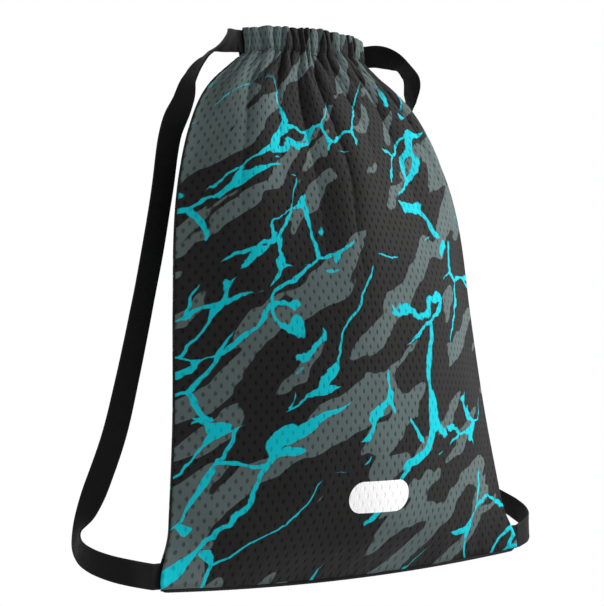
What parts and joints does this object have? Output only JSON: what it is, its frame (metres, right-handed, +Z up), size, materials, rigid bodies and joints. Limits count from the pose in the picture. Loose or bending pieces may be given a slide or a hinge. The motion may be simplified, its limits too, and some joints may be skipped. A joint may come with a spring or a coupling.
{
  "type": "drawstring backpack",
  "caption": "Gathered sports-mesh sack with a drawn casing at the mouth and flat webbing drawstrings that run down to the bottom corners as shoulder straps.",
  "frame": {"origin": "middle of the mouth's top rim, where the bag is held or hung", "axes": "+Z up towards the mouth, -Y out of the printed front, +Y towards the wearer's back, +X to the right of someone who looks at the front"},
  "size_m": [0.4498, 0.1517, 0.4727],
  "materials": {
    "mesh_cloth": "printed polyester sports mesh, charcoal and grey with cyan streaks, matt",
    "seam_cloth": "overlocked seam allowance, dark polyester",
    "webbing": "flat woven black polypropylene webbing, slight sheen",
    "thread": "black polyester sewing thread"
  },
  "bodies": {
    "sack": {"front_panel": "mesh_cloth", "back_panel": "mesh_cloth", "side_seam_left": "seam_cloth", "side_seam_right": "seam_cloth", "bottom_seam": "seam_cloth", "strap_left_tail": "webbing", "strap_right_tail": "webbing", "strap_left_corner_bartack": "thread", "strap_right_corner_bartack": "thread"},
    "mouth_front": {"front_casing": "mesh_cloth", "front_casing_stitching": "thread", "front_casing_bartack": "thread", "strap_left_casing_run": "webbing"},
    "mouth_back": {"back_casing": "mesh_cloth", "back_casing_stitching": "thread", "back_casing_bartack": "thread", "strap_right_casing_run": "webbing"},
    "left_loop": {"strap_left": "webbing"},
    "right_loop": {"strap_right": "webbing"}
  },
  "joints": [
    {"name": "mouth_front_open", "type": "slide", "parent": "sack", "child": "mouth_front", "axis": [0, -1, 0], "range_m": [0, 0.015]},
    {"name": "mouth_back_open", "type": "slide", "parent": "sack", "child": "mouth_back", "axis": [0, 1, 0], "range_m": [0, 0.015]},
    {"name": "left_strap_swing", "type": "hinge", "parent": "sack", "child": "left_loop", "pos_m": [-0.069, -0.003, -0.0125], "axis": [0.2546, 0.0068, 0.967], "range_deg": [-60, 8]},
    {"name": "right_strap_swing", "type": "hinge", "parent": "sack", "child": "right_loop", "pos_m": [0.069, 0.003, -0.0125], "axis": [0.2546, -0.02, -0.9668], "range_deg": [-60, 8]}
  ],
  "couplings": [
    {"joint": "mouth_back_open", "follows": "mouth_front_open", "ratio": 1}
  ]
}
